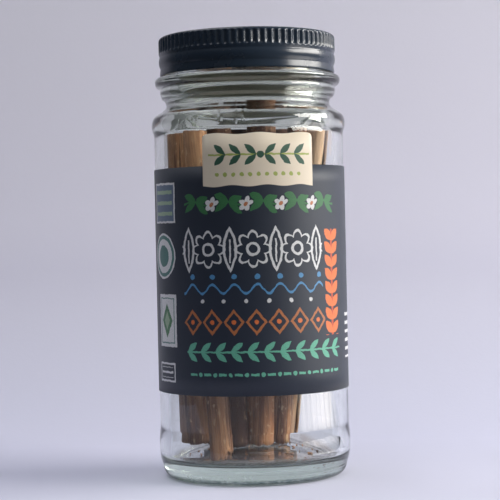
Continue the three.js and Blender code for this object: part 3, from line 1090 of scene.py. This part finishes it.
def make_stick(name, seed, diameter, foot, top, seam, painted_shading, ragged, lift=0):
    near_axis = max(0, math.hypot(*foot) - diameter / 2)

    def thicken(obj):
        sheet = obj.modifiers.new("thickness", "SOLIDIFY")
        sheet.thickness = BARK_THICKNESS * diameter * MM
        sheet.offset = -1

    stick = grow(make_mesh(name, [], []), rolled, {
        "Foot": [c * MM for c in (*foot, floor_height(near_axis) + FOOT_GAP + lift)],
        "Top": [c * MM for c in top],
        "Diameter": diameter * MM,
        "Seam": math.radians(seam),
        "Seed": seed,
        "Foot tone": painted_shading[0],
        "Top tone": painted_shading[1],
        "Ragged": ragged * MM,
        "Material": bark,
    }, thicken)
    stick.data.shade_smooth()
    return stick


for number, (place, values) in enumerate(STICKS.items()):
    stick = make_stick("stick_" + place, number * SEED_STEP, **values)
    stand_for(stick, "cinnamon_sticks")

# %% [markdown]
# Dry bark sheds crumbs. They are scattered over the floor of the jar by one more
# tree: points on a disc, raised to the domed floor, each with a small stone of
# its own turn and size. The seed is fixed, so they fall the same way each time.

# %% Scattering, by Geometry Nodes
scatter, inside, outside = new_modifier_tree(
    "crumbs on a floor",
    ("Number", "Int", 150),
    ("Radius", "Float", 18 * MM),
    ("Size", "Float", 0.5 * MM),
    ("Seed", "Int", 3))


def random_value(kind, low, high, seed):
    node = scatter.nodes.new("FunctionNodeRandomValue")
    node.data_type = kind
    used = [s for s in node.inputs if s.enabled]
    feed(scatter, used[0], low)
    feed(scatter, used[1], high)
    feed(scatter, [s for s in node.inputs if s.name == "Seed"][0], seed)
    return [s for s in node.outputs if s.enabled][0]


number, radius, size, seed = wires(scatter, inside, "Number", "Radius", "Size", "Seed")
dots = scatter.nodes.new("GeometryNodePoints")
feed(scatter, dots.inputs["Count"], number)
angle = Wire(scatter, random_value("FLOAT", 0.0, 2 * math.pi, seed))
share = Wire(scatter, random_value("FLOAT", 0.0, 1.0, seed + 1)).then("SQRT")
feed(scatter, dots.inputs["Position"], combine(
    scatter, share * radius * angle.then("COSINE"), share * radius * angle.then("SINE"),
    (1 - share * share) * (FLOOR_RISE * MM) + (FLOOR_EDGE + 0.18) * MM))
stone = scatter.nodes.new("GeometryNodeMeshIcoSphere")
stone.inputs["Radius"].default_value = 1
stone.inputs["Subdivisions"].default_value = 1
put = scatter.nodes.new("GeometryNodeInstanceOnPoints")
scatter.links.new(dots.outputs[0], put.inputs["Points"])
scatter.links.new(stone.outputs["Mesh"], put.inputs["Instance"])
feed(scatter, put.inputs["Rotation"],
     random_value("FLOAT_VECTOR", (0, 0, 0), (0.3, 0.3, 2 * math.pi), seed + 2))
big = Wire(scatter, random_value("FLOAT", 0.25, 1.0, seed + 3)) * size
feed(scatter, put.inputs["Scale"], combine(scatter, big * 1.5, big * 0.6, 0.13 * MM))
real = scatter.nodes.new("GeometryNodeRealizeInstances")
scatter.links.new(put.outputs[0], real.inputs[0])
x, y, _ = split(scatter, position(scatter))
marked = remember(scatter, real.outputs[0], "sheet", "FLOAT_VECTOR",
                  combine(scatter, x * 700, y * 3000, 0.0))
finish_tree(scatter, marked, inside.outputs["Material"], outside)

# %% Crumbs
crumbs = grow(make_mesh("bark_crumbs", [], []), scatter, {
    "Number": 90, "Radius": 18 * MM, "Size": 0.42 * MM, "Seed": 3, "Material": bark})
stand_for(crumbs, "cinnamon_sticks")

# %% [markdown]
# ## Floor and light
#
# The floor is a sheet of pale card that curves up behind the jar. Its back is
# see-through, so that the jar can also be looked at from behind. In front it
# ends soon, because dark glossy things show whatever bright things are before
# them. A wide table continues it for the eye, but isn't mirrored in the jar.

# %% Floor
# Metres, from the jar's axis.
LEFT, RIGHT, FRONT, HEIGHT = -0.2, 0.36, -0.07, 0.19
BEND_FROM, BEND_RADIUS = 0.06, 0.05
TABLE_SIZE, TABLE_DROP = 3.0, 0.3 * MM


def sweep(name):
    outline = [(FRONT, 0), (BEND_FROM, 0)]
    outline += [(BEND_FROM + BEND_RADIUS * math.sin(t), BEND_RADIUS * (1 - math.cos(t)))
                for t in np.linspace(0, math.pi / 2, 24)[1:]]
    outline += [(BEND_FROM + BEND_RADIUS, z) for z in (0.1, HEIGHT)]
    points = [(x, y, z) for x in (LEFT, RIGHT) for y, z in outline]
    n = len(outline)
    return make_mesh(name, points, [(i, n + i, n + i + 1, i + 1) for i in range(n - 1)])


floor = sweep("floor")
card, tree, shader = new_material("pale_card", roughness=0.9)
place = own_place(tree)
_, _, z = split(tree, place)
add_grain(tree, shader, place, 900.0, 0.5, 0.04 * MM)
# The upright part of the card is painted lighter than the floor: painted light, where the lamps
# leave the wall dimmer.
colour = blend_colours(tree, ramp(z, 0, 0.07), srgb(207, 208, 226), srgb(238, 236, 248))
feed(tree, shader.inputs["Base Color"], colour)
back_side = tree.nodes.new("ShaderNodeNewGeometry").outputs["Backfacing"]
choose_shader(tree, back_side, shader, tree.nodes.new("ShaderNodeBsdfTransparent"))
floor.data.materials.append(card)

half = TABLE_SIZE / 2
corners = [(-half, -half), (half, -half), (half, half), (-half, half)]
table = make_mesh("table", [(x, y, -TABLE_DROP) for x, y in corners], [(0, 1, 2, 3)])
table.data.materials.append(card)
table.visible_glossy = table.visible_diffuse = False
report(floor)
report(table)

# %% [markdown]
# Light that falls past the jar makes the table on its right bright. It lies just
# outside the picture, but the lower part of the glass mirrors it as pale upright
# bands. A fan of faint glow on the table stands for it. Only mirrored and bent
# rays see it, so it doesn't light the jar or the floor.

# %% Bright table beside the jar
GLOW_LIFT = 0.3 * MM  # above the card


def fan(name, near, far, start, stop, sides=24):
    """A flat sector of a ring, with angles in degrees from the front."""
    turns = np.radians(np.linspace(start, stop, sides))
    points = [(r * math.sin(t), -r * math.cos(t), GLOW_LIFT) for t in turns for r in (near, far)]
    faces = [(2 * i, 2 * i + 1, 2 * i + 3, 2 * i + 2) for i in range(sides - 1)]
    return make_mesh(name, points, faces)


glow = fan("bright_table", 0.06, 0.45, 50, 116)
shine = bpy.data.materials.new("bright_table")
shine.use_nodes = True
tree = shine.node_tree
x, y, z = split(tree, own_place(tree))
angle = x.then("ARCTAN2", 0 - y) * (180 / math.pi)
edges = ramp(angle, 52, 58) * ramp(angle, 98, 114, 1, 0)
edges = edges * ramp(distance(x, y), 0.07, 0.15)
bands = ramp(noise(tree, combine(tree, angle * 0.16, 0.0, 0.0), 1.0, 2), 0.35, 0.65, 0.35, 1)
emit = tree.nodes.new("ShaderNodeEmission")
emit.inputs["Color"].default_value = (1, 0.95, 0.9, 1)
feed(tree, emit.inputs["Strength"], edges * bands * 5.5)
tree.links.new(emit.outputs[0], tree.nodes["Material Output"].inputs["Surface"])
glow.data.materials.append(shine)
glow.visible_camera = glow.visible_diffuse = glow.visible_shadow = False
report(glow)

# %% [markdown]
# The light is that of a room with one large window on the right. The window
# gives the bright lines on the right of every round form, and the rest of the
# room is dim, so the left side and the lid stay dark.

# %% Light
def panel(name, place, target, size, power, colour):
    data = bpy.data.lights.new(name, "AREA")
    data.shape = "RECTANGLE"
    data.size, data.size_y = size
    data.energy = power
    data.color = colour
    obj = bpy.data.objects.new(name, data)
    obj.location = place
    obj.rotation_euler = (Vector(target) - Vector(place)).to_track_quat("-Z", "Y").to_euler()
    bpy.context.collection.objects.link(obj)
    print(name, "at", place, "with", power, "watts")


panel("window", place=(0.70, -0.06, 0.34), target=(0, 0, 0.05), size=(0.70, 0.25),
      power=8.1, colour=(1, 0.97, 0.92))
panel("ceiling", place=(-0.3, 0.0, 0.9), target=(-0.2, 0.0, 0), size=(1.2, 0.5),
      power=3.8, colour=(0.95, 0.94, 1))

# The room is brighter towards the right and above. The camera alone sees it as
# pale as the card, beyond the card's edges.
world = bpy.data.worlds.new("room")
world.use_nodes = True
tree = world.node_tree
x, y, z = split(tree, tree.nodes.new("ShaderNodeTexCoord").outputs["Generated"])
strength = 0.08 + ramp(x, -0.3, 0.9) * 0.24 + ramp(z, 0.2, 0.9) * 0.2
seen = Wire(tree, tree.nodes.new("ShaderNodeLightPath").outputs["Is Camera Ray"])
background = tree.nodes["Background"]
feed(tree, background.inputs["Color"],
     blend_colours(tree, seen, (0.88, 0.93, 0.97, 1), srgb(200, 204, 222)))
feed(tree, background.inputs["Strength"], strength + (1 - strength) * seen)
bpy.context.scene.world = world
bpy.context.scene.view_settings.view_transform = "Standard"
